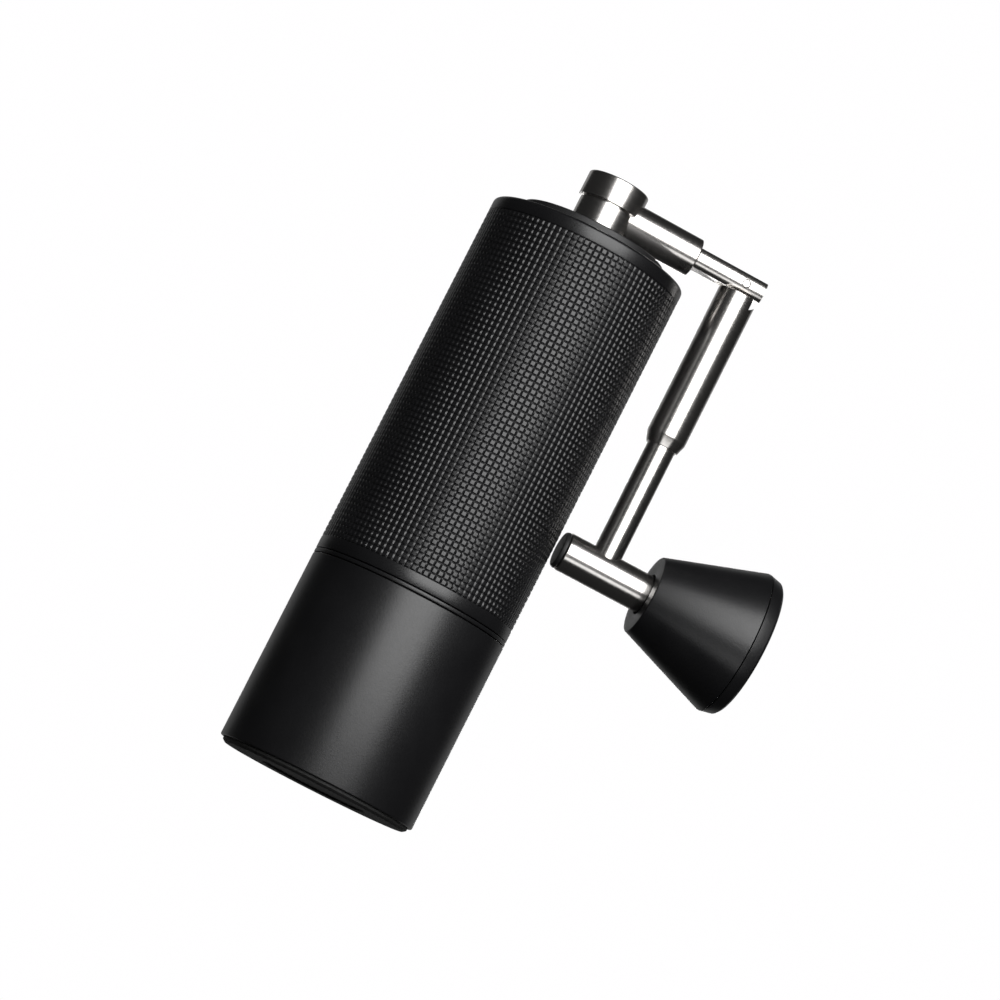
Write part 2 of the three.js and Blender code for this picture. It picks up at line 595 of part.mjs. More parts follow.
function buildSpindle() {
  const spindle = alongX(turned([
    [0, SPINDLE_START_X],
    [SPINDLE_RADIUS, SPINDLE_START_X],
    [SPINDLE_RADIUS, KNOB_START_X + 2],
    [SPINDLE_PIN_RADIUS, KNOB_START_X + 2],
    [SPINDLE_PIN_RADIUS, SPINDLE_END_X],
    [SCREW_RADIUS + 0.1, SPINDLE_END_X],
    [SCREW_RADIUS + 0.1, SPINDLE_END_X - SCREW_DEPTH - 1],
    [0, SPINDLE_END_X - SCREW_DEPTH - 1],
  ]), SPINDLE_Z);
  const rodHole = disc(ROD_RADIUS + FIT, SPINDLE_Z - 1.7, SPINDLE_Z + 10).translate([HINGE_X, 0, 0]);
  addPart('knob_spindle', spindle.subtract(rodHole), finish.steel);

  const endPlug = alongX(turned([
    [0, SPINDLE_START_X - 1.3],
    [SPINDLE_RADIUS - 0.9, SPINDLE_START_X - 1.3],
    [SPINDLE_RADIUS - 0.1, SPINDLE_START_X - 0.8],
    [SPINDLE_RADIUS - 0.1, SPINDLE_START_X - 0.2],
    [0, SPINDLE_START_X - 0.2],
  ]), SPINDLE_Z);
  addPart('spindle_end_plug', endPlug, finish.blackPlastic);

  const screw = alongX(turned([
    [0, SPINDLE_END_X - SCREW_DEPTH],
    [SCREW_RADIUS, SPINDLE_END_X - SCREW_DEPTH],
    [SCREW_RADIUS, SPINDLE_END_X + GAP],
    [SCREW_HEAD_RADIUS, SPINDLE_END_X + GAP],
    [SCREW_HEAD_RADIUS, SPINDLE_END_X + 1.7],
    [0, SPINDLE_END_X + 1.7],
  ]), SPINDLE_Z);
  addPart('knob_screw', screw, finish.steel);
}

function buildKnob() {
  const boreRadius = SPINDLE_PIN_RADIUS + 1.2;
  const recessX = KNOB_START_X + KNOB_RECESS_DEPTH;
  const knob = alongX(turned([
    [KNOB_MOUTH_RADIUS, KNOB_START_X],
    [KNOB_NARROW_RADIUS - 0.3, KNOB_START_X],
    [KNOB_NARROW_RADIUS, KNOB_START_X + 0.3],
    [KNOB_WIDE_RADIUS, KNOB_SEAM_X],
    [KNOB_POCKET_RADIUS, KNOB_SEAM_X],
    [KNOB_POCKET_RADIUS, KNOB_POCKET_X],
    [boreRadius, KNOB_POCKET_X],
    [boreRadius, recessX],
    [KNOB_MOUTH_RADIUS, recessX],
  ], SEGMENTS_LARGE), SPINDLE_Z);
  addPart('knob', knob, finish.blackAluminium);

  const cap = alongX(turned([
    [0, KNOB_SEAM_X - 0.9],
    [KNOB_POCKET_RADIUS - GAP, KNOB_SEAM_X - 0.9],
    [KNOB_POCKET_RADIUS - GAP, KNOB_SEAM_X + 0.2],
    [KNOB_WIDE_RADIUS, KNOB_SEAM_X + 0.2],
    [KNOB_WIDE_RADIUS - 0.7, KNOB_END_X - 0.6],
    [KNOB_WIDE_RADIUS - 1.4, KNOB_END_X],
    [0, KNOB_END_X],
  ], SEGMENTS_LARGE), SPINDLE_Z);
  addPart('knob_end_cap', cap, finish.blackAluminium);

  const bush = ring(SPINDLE_PIN_RADIUS + FIT, boreRadius - FIT, recessX, KNOB_POCKET_X);
  addPart('knob_bush', alongX(bush, SPINDLE_Z), finish.brass);
}

buildCup();
buildBarrel();
addPart('lower_bearing_bracket', bearingBracket(LOWER_BRACKET_Z), finish.blackAluminium);
addPart('upper_bearing_bracket', bearingBracket(UPPER_BRACKET_Z), finish.blackAluminium);
buildBearing('lower', LOWER_BRACKET_Z);
buildBearing('upper', UPPER_BRACKET_Z);
buildAxle();
buildSpring();
buildBurrs();
buildDial();
buildLid();
buildHub();
buildArmSocket();
buildArm();
buildSpindle();
buildKnob();

export default grinder;
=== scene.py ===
import json
import math

import bmesh
import bpy
from mathutils import Matrix, Vector


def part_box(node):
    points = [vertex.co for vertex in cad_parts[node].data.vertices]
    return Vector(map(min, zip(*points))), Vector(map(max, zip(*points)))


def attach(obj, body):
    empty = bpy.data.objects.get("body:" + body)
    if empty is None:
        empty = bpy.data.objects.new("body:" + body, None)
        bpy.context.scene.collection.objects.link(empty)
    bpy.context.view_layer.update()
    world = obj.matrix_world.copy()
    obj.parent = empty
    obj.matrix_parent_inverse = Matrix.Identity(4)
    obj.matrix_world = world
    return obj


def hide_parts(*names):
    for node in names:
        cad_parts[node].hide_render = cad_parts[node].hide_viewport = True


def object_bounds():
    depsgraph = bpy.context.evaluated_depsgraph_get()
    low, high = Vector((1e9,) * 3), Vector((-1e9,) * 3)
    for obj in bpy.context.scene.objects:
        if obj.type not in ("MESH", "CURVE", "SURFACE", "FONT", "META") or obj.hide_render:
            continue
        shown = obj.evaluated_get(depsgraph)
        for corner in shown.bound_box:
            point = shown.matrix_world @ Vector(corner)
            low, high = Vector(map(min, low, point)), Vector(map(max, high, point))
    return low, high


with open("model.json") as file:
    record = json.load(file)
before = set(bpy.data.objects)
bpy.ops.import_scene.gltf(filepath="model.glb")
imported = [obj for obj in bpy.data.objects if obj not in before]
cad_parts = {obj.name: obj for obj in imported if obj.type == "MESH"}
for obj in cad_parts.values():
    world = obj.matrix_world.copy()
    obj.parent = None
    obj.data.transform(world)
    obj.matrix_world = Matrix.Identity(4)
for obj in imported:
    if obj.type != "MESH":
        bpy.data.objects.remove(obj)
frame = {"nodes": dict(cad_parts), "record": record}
cad_low, cad_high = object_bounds()

MM = 0.001

# ---------- Dimensions read from the CAD nodes, in millimetres ----------


def span(node):
    """The low and high corners of a CAD node."""
    low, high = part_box(node)
    return low / MM, high / MM


cup_low, cup_high = span("catch_cup")
pad_high = span("base_pad")[1]
shell_low, shell_high = span("barrel_shell")
collar_low, collar_high = span("collar_ring")
lid_low, lid_high = span("lid")
hub_high = span("crank_hub")[1]
socket_low, socket_high = span("arm_socket")
fork_high = span("hinge_fork")[1]
pin_low, pin_high = span("hinge_pin")
rod_low = span("arm_rod")[0]
sleeve_low, sleeve_high = span("lock_sleeve")
spindle_low, spindle_high = span("knob_spindle")
end_plug_low, end_plug_high = span("spindle_end_plug")
knob_low, knob_high = span("knob")
cap_low, cap_high = span("knob_end_cap")

WALL = 2.0
FRAME_GAP = 0.25
BARREL_R = cup_high.x
BORE_R = BARREL_R - WALL
FRAME_R = BORE_R - FRAME_GAP
ARM_Z = (socket_low.z + socket_high.z) / 2
HINGE_X = (pin_low.x + pin_high.x) / 2
SPINDLE_Z = (spindle_low.z + spindle_high.z) / 2

# ---------- Mesh helpers: everything is built in millimetres ----------

ON_AXIS = 1e-6
WELD_GAP = 0.0005


def fillet(points, steps=5):
    """Points are (r, z) or (r, z, radius). A corner with a radius becomes an arc."""
    out = []
    count = len(points)
    for i, p in enumerate(points):
        if len(p) < 3 or p[2] <= 0:
            out.append((p[0], p[1]))
            continue
        here = Vector(p[:2])
        to_a = Vector(points[i - 1][:2]) - here
        to_b = Vector(points[(i + 1) % count][:2]) - here
        half = to_a.angle(to_b) / 2
        reach = min(p[2] / math.tan(half), 0.49 * to_a.length, 0.49 * to_b.length)
        radius = reach * math.tan(half)
        start = here + to_a.normalized() * reach
        end = here + to_b.normalized() * reach
        centre = here + (to_a.normalized() + to_b.normalized()).normalized() * (
            radius / math.sin(half)
        )
        va, vb = start - centre, end - centre
        turn = va.angle_signed(vb)
        for k in range(steps + 1):
            spin = Matrix.Rotation(-turn * k / steps, 2)
            q = centre + spin @ va
            out.append((q.x, q.y))
    return out


def finish_mesh(name, bm, sharp=32.0):
    """Faces out, smooth shading with sharp edges, and scaled to metres."""
    bmesh.ops.recalc_face_normals(bm, faces=bm.faces)
    limit = math.radians(sharp)
    for face in bm.faces:
        face.smooth = True
    for edge in bm.edges:
        edge.smooth = len(edge.link_faces) == 2 and edge.calc_face_angle(0) < limit
    bmesh.ops.scale(bm, vec=(MM, MM, MM), verts=bm.verts)
    mesh = bpy.data.meshes.new(name)
    bm.to_mesh(mesh)
    bm.free()
    obj = bpy.data.objects.new(name, mesh)
    bpy.context.scene.collection.objects.link(obj)
    return obj


def ring_at(bm, r, z, segments):
    """A level circle of vertices, or one vertex when it is on the axis."""
    if r < ON_AXIS:
        return [bm.verts.new((0, 0, z))]
    angles = [2 * math.pi * k / segments for k in range(segments)]
    return [bm.verts.new((r * math.cos(a), r * math.sin(a), z)) for a in angles]


def join_rings(bm, rings):
    """Joins each ring to the next, and the last to the first unless both are points."""
    pairs = list(zip(rings, rings[1:]))
    if len(rings[0]) > 1 or len(rings[-1]) > 1:
        pairs.append((rings[-1], rings[0]))
    for a, b in pairs:
        segments = max(len(a), len(b))
        for k in range(segments):
            n = (k + 1) % segments
            corners = (a[k % len(a)], a[n % len(a)], b[n % len(b)], b[k % len(b)])
            unique = list(dict.fromkeys(corners))
            if len(unique) > 2:
                bm.faces.new(unique)


def spin_profile(bm, outline, segments):
    """Revolves an outline about Z. It closes on itself, or runs from axis to axis."""
    join_rings(bm, [ring_at(bm, r, z, segments) for r, z in outline])


def turned_bm(points, segments=128, steps=5):
    """A body turned about Z from an outline whose corners may be rounded."""
    bm = bmesh.new()
    spin_profile(bm, fillet(points, steps), segments)
    bmesh.ops.recalc_face_normals(bm, faces=bm.faces)
    return bm


def along_x(bm, height):
    """Turns a body from the Z axis to lie along X at a height."""
    turn = Matrix.Rotation(math.radians(90), 4, "Y")
    bmesh.ops.transform(bm, matrix=Matrix.Translation((0, 0, height)) @ turn, verts=bm.verts)
    return bm


def across_hinge(bm):
    """Turns a body from the Z axis to lie along Y on the hinge line."""
    turn = Matrix.Rotation(math.radians(90), 4, "X")
    place = Matrix.Translation((HINGE_X, 0, ARM_Z))
    bmesh.ops.transform(bm, matrix=place @ turn, verts=bm.verts)
    return bm


def moved(bm, x=0.0, y=0.0, z=0.0):
    bmesh.ops.translate(bm, vec=(x, y, z), verts=bm.verts)
    return bm


def box_bm(low, high):
    bm = bmesh.new()
    bmesh.ops.create_cube(bm, size=1)
    low, high = Vector(low), Vector(high)
    bmesh.ops.scale(bm, vec=high - low, verts=bm.verts)
    bmesh.ops.translate(bm, vec=(low + high) / 2, verts=bm.verts)
    return bm


def disc_bm(radius, low, high, segments=96):
    return turned_bm([(0, low), (radius, low), (radius, high), (0, high)], segments)


def ring_bm(inner, outer, low, high, edge=0.15, segments=128):
    """A ring with all four corners of its section rounded."""
    corners = [(inner, low), (outer, low), (outer, high), (inner, high)]
    return turned_bm([(r, z, edge) for r, z in corners], segments, 3)


def temp_object(bm):
    mesh = bpy.data.meshes.new("tool")
    bm.to_mesh(mesh)
    bm.free()
    obj = bpy.data.objects.new("tool", mesh)
    bpy.context.scene.collection.objects.link(obj)
    return obj


def evaluated_bm(obj):
    """The mesh of an object with its modifiers applied. The object is deleted."""
    deps = bpy.context.evaluated_depsgraph_get()
    bm = bmesh.new()
    bm.from_object(obj, deps)
    mesh = obj.data
    bpy.data.objects.remove(obj)
    bpy.data.meshes.remove(mesh)
    return bm


def combine(base, operation, tools):
    """Boolean of the base with each tool in turn, in millimetres."""
    obj = temp_object(base)
    helpers = []
    for tool in tools:
        helper = temp_object(tool)
        helpers.append(helper)
        mod = obj.modifiers.new("cut", "BOOLEAN")
        mod.operation = operation
        mod.solver = "EXACT"
        mod.object = helper
    bm = evaluated_bm(obj)
    for helper in helpers:
        mesh = helper.data
        bpy.data.objects.remove(helper)
        bpy.data.meshes.remove(mesh)
    bmesh.ops.remove_doubles(bm, verts=bm.verts, dist=WELD_GAP)
    return bm


def bevelled(bm, width, segments=2, angle=35.0):
    """The body with its edges sharper than the angle cut back."""
    obj = temp_object(bm)
    mod = obj.modifiers.new("edge", "BEVEL")
    mod.width = width
    mod.segments = segments
    mod.limit_method = "ANGLE"
    mod.angle_limit = math.radians(angle)
    mod.use_clamp_overlap = True
    return evaluated_bm(obj)


# ---------- Materials ----------

# Noise values that take the low and the high end of a range
NOISE_LOW = 0.3
NOISE_HIGH = 0.7
PATCH_SCALE = 90
BUMP_DISTANCE = 0.03 * MM


def new_material(name):
    mat = bpy.data.materials.new(name)
    mat.use_nodes = True
    nodes = mat.node_tree.nodes
    shader = nodes["Principled BSDF"]
    return mat, mat.node_tree, shader


def add_noise(tree, scale, stretch=(1, 1, 1), detail=3.0):
    coords = tree.nodes.new("ShaderNodeTexCoord")
    mapping = tree.nodes.new("ShaderNodeMapping")
    mapping.inputs["Scale"].default_value = stretch
    noise = tree.nodes.new("ShaderNodeTexNoise")
    noise.inputs["Scale"].default_value = scale
    noise.inputs["Detail"].default_value = detail
    tree.links.new(coords.outputs["Object"], mapping.inputs["Vector"])
    tree.links.new(mapping.outputs["Vector"], noise.inputs["Vector"])
    return noise


def ramp_between(tree, source, low, high):
    node = tree.nodes.new("ShaderNodeMapRange")
    node.inputs["From Min"].default_value = NOISE_LOW
    node.inputs["From Max"].default_value = NOISE_HIGH
    node.inputs["To Min"].default_value = low
    node.inputs["To Max"].default_value = high
    tree.links.new(source, node.inputs["Value"])
    return node.outputs["Result"]


def colour_between(tree, source, dark, light):
    node = tree.nodes.new("ShaderNodeValToRGB")
    node.color_ramp.elements[0].position = NOISE_LOW
    node.color_ramp.elements[0].color = (*dark, 1)
    node.color_ramp.elements[1].position = NOISE_HIGH
    node.color_ramp.elements[1].color = (*light, 1)
    tree.links.new(source, node.inputs["Fac"])
    return node.outputs["Color"]


def surface(name, dark, light, rough, metallic, grain, bump, stretch=(1, 1, 1)):
    """A procedural finish: patchy colour, varied roughness and a fine grain bump."""
    mat, tree, shader = new_material(name)
    patch = add_noise(tree, PATCH_SCALE, detail=4)
    fine = add_noise(tree, grain, stretch, detail=3)
    tree.links.new(
        colour_between(tree, patch.outputs["Fac"], dark, light), shader.inputs["Base Color"]
    )
    tree.links.new(
        ramp_between(tree, fine.outputs["Fac"], *rough), shader.inputs["Roughness"]
    )
    node = tree.nodes.new("ShaderNodeBump")
    node.inputs["Strength"].default_value = bump
    node.inputs["Distance"].default_value = BUMP_DISTANCE
    tree.links.new(fine.outputs["Fac"], node.inputs["Height"])
    tree.links.new(node.outputs["Normal"], shader.inputs["Normal"])
    shader.inputs["Metallic"].default_value = metallic
    return mat


ANODISED = surface(
    "black_anodised", dark=(0.0050, 0.0050, 0.0056), light=(0.0072, 0.0072, 0.0079),
    rough=(0.32, 0.40), metallic=0.0, grain=2800, bump=0.6,
)
KNURLED = surface(
    "black_anodised_knurl", dark=(0.0052, 0.0052, 0.0058), light=(0.0076, 0.0076, 0.0083),
    rough=(0.26, 0.36), metallic=0.0, grain=4200, bump=0.3,
)
POLISHED = {
    "dark": (0.56, 0.54, 0.52),
    "light": (0.66, 0.64, 0.62),
    "rough": (0.20, 0.27),
    "metallic": 1.0,
    "grain": 420,
    "bump": 0.03,
}
STEEL_TURNED = surface("polished_steel_turned", **POLISHED, stretch=(1, 1, 26))
STEEL_DRAWN = surface("polished_steel_drawn", **POLISHED, stretch=(26, 1, 1))
STEEL_GROUND = surface(
    "ground_steel", dark=(0.40, 0.40, 0.41), light=(0.56, 0.56, 0.57),
    rough=(0.22, 0.36), metallic=1.0, grain=900, bump=0.2,
)
STEEL_BURR = surface(
    "burr_steel", dark=(0.26, 0.26, 0.27), light=(0.40, 0.40, 0.41),
    rough=(0.28, 0.44), metallic=1.0, grain=1500, bump=0.5,
)
PLASTIC = surface(
    "black_plastic", dark=(0.0080, 0.0080, 0.0085), light=(0.0120, 0.0120, 0.0125),
    rough=(0.44, 0.58), metallic=0.0, grain=3000, bump=0.6,
)
RUBBER = surface(
    "black_rubber", dark=(0.0100, 0.0100, 0.0100), light=(0.0180, 0.0180, 0.0180),
    rough=(0.62, 0.80), metallic=0.0, grain=2200, bump=0.8,
)
BRASS = surface(
    "turned_brass", dark=(0.46, 0.31, 0.12), light=(0.62, 0.45, 0.20),
    rough=(0.20, 0.34), metallic=1.0, grain=500, bump=0.15, stretch=(1, 1, 20),
)


def place(name, bm, body, node_names, slot, material, sharp=32.0):
    """Makes a piece that rides a body and is shown instead of its CAD nodes."""
    obj = finish_mesh(name, bm, sharp)
    obj.data.materials.append(material)
    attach(obj, body)
    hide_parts(*node_names)
    return obj


# ---------- Knurled barrel shell ----------

KNURL_COLUMNS = 102
KNURL_ROWS = 59
KNURL_LOW = shell_low.z + 3.2
KNURL_HIGH = shell_high.z - 3.6
GROOVE_DEPTH = 0.24
# The slope from the plain wall to the first groove
SLOPE_DEPTH = 0.06
SLOPE_INNER = 0.12
SLOPE_OUTER = 0.35
LIP_R = 22.3
LIP_LOW = 146.6
LIP_SEAT_R = 23.4
SEAT_Z = 149.0
# Share of a cell and the height there: groove floor, pad shoulder, pad crown, pad shoulder
CELL_PROFILE = ((0.0, 0.0), (0.2, 0.94), (0.5, 1.0), (0.8, 0.94))


def cell_heights(cells, closed):
    """Positions in cells and the height at each, for a row of knurl cells."""
    out = [(i + at, height) for i in range(cells) for at, height in CELL_PROFILE]
    if not closed:
        out.append((float(cells), 0.0))
    return out


def build_shell():
    """The shell as rings of vertices, up the outside and down the bore."""
    bm = bmesh.new()
    around = cell_heights(KNURL_COLUMNS, True)
    up = cell_heights(KNURL_ROWS, False)
    pitch = (KNURL_HIGH - KNURL_LOW) / KNURL_ROWS
    angles = [2 * math.pi * c / KNURL_COLUMNS for c, _ in around]
    cosines = [(math.cos(a), math.sin(a)) for a in angles]
    outer = BARREL_R

    def plain(r, z):
        return [bm.verts.new((r * c, r * s, z)) for c, s in cosines]

    rings = []
    low_outline = fillet(
        [
            (BORE_R, KNURL_LOW),
            (BORE_R, shell_low.z, 0.1),
            (outer, shell_low.z, 0.25),
            (outer, KNURL_LOW),
        ],
        3,
    )[1:-1]
    for r, z in low_outline:
        rings.append(plain(r, z))
    rings.append(plain(outer, KNURL_LOW - SLOPE_OUTER))
    rings.append(plain(outer - SLOPE_DEPTH, KNURL_LOW - SLOPE_INNER))
    for row, height in up:
        z = KNURL_LOW + row * pitch
        ring = []
        for (c, s), (_, side) in zip(cosines, around):
            r = outer - GROOVE_DEPTH * (1 - height * side)
            ring.append(bm.verts.new((r * c, r * s, z)))
        rings.append(ring)
    rings.append(plain(outer - SLOPE_DEPTH, KNURL_HIGH + SLOPE_INNER))
    rings.append(plain(outer, KNURL_HIGH + SLOPE_OUTER))
    top_outline = fillet(
        [
            (outer, KNURL_HIGH + SLOPE_OUTER),
            (outer, shell_high.z, 1.0),
            (LIP_SEAT_R, shell_high.z, 0.2),
            (LIP_SEAT_R, SEAT_Z, 0.05),
            (LIP_R, SEAT_Z, 0.1),
            (LIP_R, LIP_LOW),
        ],
        5,
    )[1:]
    for r, z in top_outline:
        rings.append(plain(r, z))
    rings.append(plain(BORE_R, LIP_LOW))
    join_rings(bm, rings)
    return bm


place(
    "barrel_shell_knurled", build_shell(),
    "barrel", ["barrel_shell"], "black_aluminium", KNURLED, sharp=26.0,
)

# ---------- Catch cup, base pad and collar ----------

SEAT_R = BORE_R + 0.8
SEAT_DEPTH = 1.6
CUP_UNDERSIDE = 2.5
CUP_FLOOR = 4.7
CUP_FLOOR_FILLET = 2.2
CUP_RECESS_R = 25.2
THREAD_LOW = 41.6
THREAD_HIGH = cup_high.z - 1.7
THREAD_PITCH = 1.5
THREAD_DEPTH = 0.4
THREAD_FADE = 0.8
THREAD_ROW = 0.14
THREAD_SEGMENTS = 96


def thread_ring(bm, z):
    """One circle of the bore's helical groove, which fades out at both ends."""
    fade = min(1.0, (z - THREAD_LOW) / THREAD_FADE, (THREAD_HIGH - z) / THREAD_FADE)
    fade = max(0.0, fade)
    ring = []
    for k in range(THREAD_SEGMENTS):
        share = k / THREAD_SEGMENTS
        phase = ((z - THREAD_LOW) / THREAD_PITCH - share) % 1.0
        wave = 0.5 + 0.5 * math.cos(2 * math.pi * phase)
        radial = BORE_R + THREAD_DEPTH * wave * fade
        angle = 2 * math.pi * share
        ring.append(bm.verts.new((radial * math.cos(angle), radial * math.sin(angle), z)))
    return ring


def build_cup():
    """The cup up its outside, down the thread and along its inside to the axis."""
    bm = bmesh.new()
    outside = fillet(
        [
            (0, CUP_UNDERSIDE),
            (CUP_RECESS_R, CUP_UNDERSIDE, 0.1),
            (CUP_RECESS_R, cup_low.z, 0.12),
            (BARREL_R, cup_low.z, 0.55),
            (BARREL_R, cup_high.z, 0.3),
            (SEAT_R, cup_high.z, 0.12),
            (SEAT_R, cup_high.z - SEAT_DEPTH, 0.1),
            (BORE_R, cup_high.z - SEAT_DEPTH),
        ]
    )
    # The first point only gives the corner its direction
    inside = fillet(
        [(BORE_R, THREAD_LOW), (BORE_R, CUP_FLOOR, CUP_FLOOR_FILLET), (0, CUP_FLOOR)]
    )[1:]
    rings = [ring_at(bm, r, z, THREAD_SEGMENTS) for r, z in outside]
    rows = int((THREAD_HIGH - THREAD_LOW) / THREAD_ROW)
    for k in range(rows + 1):
        rings.append(thread_ring(bm, THREAD_HIGH + (THREAD_LOW - THREAD_HIGH) * k / rows))
    rings += [ring_at(bm, r, z, THREAD_SEGMENTS) for r, z in inside]
    join_rings(bm, rings)
    return bm


place("catch_cup_turned", build_cup(), "cup", ["catch_cup"], "black_aluminium", ANODISED)

PAD_RECESS = 0.45
PAD_RECESS_R = 14.0
PAD_RING_R = 14.3
PAD_FLAT_R = 24.2
PAD_CHAMFER = 0.6
place(
    "base_pad_moulded",
    turned_bm(
        [
            (0, PAD_RECESS), (PAD_RECESS_R, PAD_RECESS, 0.1), (PAD_RING_R, 0.0, 0.1),
            (PAD_FLAT_R, 0.0, 0.25), (pad_high.x, PAD_CHAMFER, 0.3),
            (pad_high.x, pad_high.z, 0.2), (0, pad_high.z),
        ],
    ),
    "cup", ["base_pad"], "rubber", RUBBER,
)

CUP_SEAL_GAP = 0.12
CUP_SEAL_DEPTH = 1.3
CUP_SEAL_TOP = 0.1
place(
    "cup_seal_ring",
    ring_bm(
        BORE_R, SEAT_R - CUP_SEAL_GAP, cup_high.z - CUP_SEAL_DEPTH, cup_high.z - CUP_SEAL_TOP, 0.3
    ),
    "cup_seal", ["cup_seal"], "rubber", RUBBER,
)

COLLAR_GAP = 0.12
place(
    "collar_ring_turned",
    ring_bm(FRAME_R + COLLAR_GAP, BARREL_R, collar_low.z, collar_high.z, 0.22),
    "barrel", ["collar_ring"], "black_aluminium", ANODISED,
)

# ---------- Lid ----------

LID_BORE_R = 6.3
LID_PLUG_R = 22.0
LID_GROOVE_R = 20.7
LID_GROOVE_LOW = 146.8
LID_GROOVE_HIGH = 148.6
LID_FLANGE_LOW = SEAT_Z + 0.2
LID_FLANGE_TOP = shell_high.z + 0.1
LID_DISC_R = 19.3
LID_DISC_Z = 152.5
LID_BOSS_R = 7.2

place(
    "lid_turned",
    turned_bm(
        [
            (LID_BORE_R, lid_low.z, 0.2), (LID_PLUG_R, lid_low.z, 0.3),
            (LID_PLUG_R, LID_GROOVE_LOW, 0.1), (LID_GROOVE_R, LID_GROOVE_LOW, 0.1),
            (LID_GROOVE_R, LID_GROOVE_HIGH, 0.1), (LID_PLUG_R, LID_GROOVE_HIGH, 0.1),
            (LID_PLUG_R, LID_FLANGE_LOW, 0.05), (lid_high.x, LID_FLANGE_LOW, 0.1),
            (lid_high.x, LID_FLANGE_TOP, 0.15), (LID_DISC_R, LID_FLANGE_TOP, 0.05),
            (LID_DISC_R, LID_DISC_Z, 0.4), (LID_BOSS_R, LID_DISC_Z, 0.1),
            (LID_BOSS_R, lid_high.z, 0.15), (LID_BORE_R, lid_high.z, 0.1),
        ],
    ),
    "lid", ["lid"], "black_plastic", PLASTIC,
)

LID_SEAL_R = 21.4
LID_SEAL_Z = (LID_GROOVE_LOW + LID_GROOVE_HIGH) / 2
LID_SEAL_THICK_R = 0.7
LID_SEAL_POINTS = 20
seal_angles = [2 * math.pi * k / LID_SEAL_POINTS for k in range(LID_SEAL_POINTS)]
seal_outline = [
    (LID_SEAL_R + LID_SEAL_THICK_R * math.cos(a), LID_SEAL_Z + LID_SEAL_THICK_R * math.sin(a))
    for a in seal_angles
]
seal_bm = bmesh.new()
spin_profile(seal_bm, seal_outline, 128)
place("lid_seal_ring", seal_bm, "lid", ["lid_seal"], "rubber", RUBBER)

LID_BUSH_R = (5.42, 6.18)
place(
    "lid_bush_turned", ring_bm(*LID_BUSH_R, lid_low.z, lid_high.z, 0.12),
    "lid", ["lid_bush"], "brass", BRASS,
)

# ---------- Crank hub ----------

HUB_FOOT_Z = 144.6
HUB_FOOT_R = 5.3
HUB_CLIP_R = 4.8
HUB_CLIP_LOW = 145.0
HUB_CLIP_HIGH = 145.8
HUB_SHOULDER_Z = 153.2
HUB_BODY_R = 7.35
HUB_GROOVE_R = 6.95
HUB_GROOVE_LOW = 160.3
HUB_GROOVE_HIGH = 160.7
HUB_HEAD_R = 8.1
HUB_POCKET_R = 5.6
HUB_POCKET_Z = hub_high.z - 1.6
HEX_R = 3.65
HEX_LOW = 143.0
HEX_HIGH = 157.6
ARM_BORE_R = 5.12
ARM_BORE_X = (4.2, 12.0)

hub_outline = [
    (0, HUB_FOOT_Z), (HUB_FOOT_R, HUB_FOOT_Z, 0.15), (HUB_FOOT_R, HUB_CLIP_LOW, 0.05),
    (HUB_CLIP_R, HUB_CLIP_LOW, 0.05), (HUB_CLIP_R, HUB_CLIP_HIGH, 0.05),
    (HUB_FOOT_R, HUB_CLIP_HIGH, 0.05), (HUB_FOOT_R, HUB_SHOULDER_Z, 0.1),
    (HUB_BODY_R, HUB_SHOULDER_Z, 0.25), (HUB_BODY_R, HUB_GROOVE_LOW, 0.1),
    (HUB_GROOVE_R, HUB_GROOVE_LOW, 0.05), (HUB_GROOVE_R, HUB_GROOVE_HIGH, 0.05),
    (HUB_HEAD_R, HUB_GROOVE_HIGH, 0.12), (HUB_HEAD_R, hub_high.z, 0.5),
    (HUB_POCKET_R, hub_high.z, 0.12), (HUB_POCKET_R, HUB_POCKET_Z, 0.05), (0, HUB_POCKET_Z),
]
hex_socket = disc_bm(HEX_R, HEX_LOW, HEX_HIGH, 6)
cross_bore = along_x(disc_bm(ARM_BORE_R, *ARM_BORE_X), ARM_Z)
place(
    "crank_hub_turned",
    combine(turned_bm(hub_outline, 96), "DIFFERENCE", [hex_socket, cross_bore]),
    "crank", ["crank_hub"], "polished_steel", STEEL_TURNED,
)

HUB_PLUG_R = 5.4
HUB_PLUG_LOW = hub_high.z - 1.3
HUB_KEY_R = 2.3
HUB_KEY_REACH = 1.0
plug = turned_bm(
    [(0, HUB_PLUG_LOW), (HUB_PLUG_R, HUB_PLUG_LOW, 0.1), (HUB_PLUG_R, hub_high.z, 0.25), (0, hub_high.z)],
    96,
)
hex_recess = disc_bm(HUB_KEY_R, hub_high.z - HUB_KEY_REACH, hub_high.z + HUB_KEY_REACH, 6)
place(
    "hub_plug_turned", bevelled(combine(plug, "DIFFERENCE", [hex_recess]), 0.12),
    "crank", ["hub_plug"], "polished_steel", STEEL_TURNED,
)

CLIP_R = (4.9, 6.6)
CLIP_Z = (145.1, 145.7)
CLIP_MOUTH = ((-8, -2, 143), (-4, 2, 147))
place(
    "hub_circlip_stamped",
    combine(ring_bm(*CLIP_R, *CLIP_Z, 0.1, 96), "DIFFERENCE", [box_bm(*CLIP_MOUTH)]),
    "crank", ["hub_circlip"], "bearing_steel", STEEL_GROUND,
)

# ---------- Arm socket, fork and pin ----------

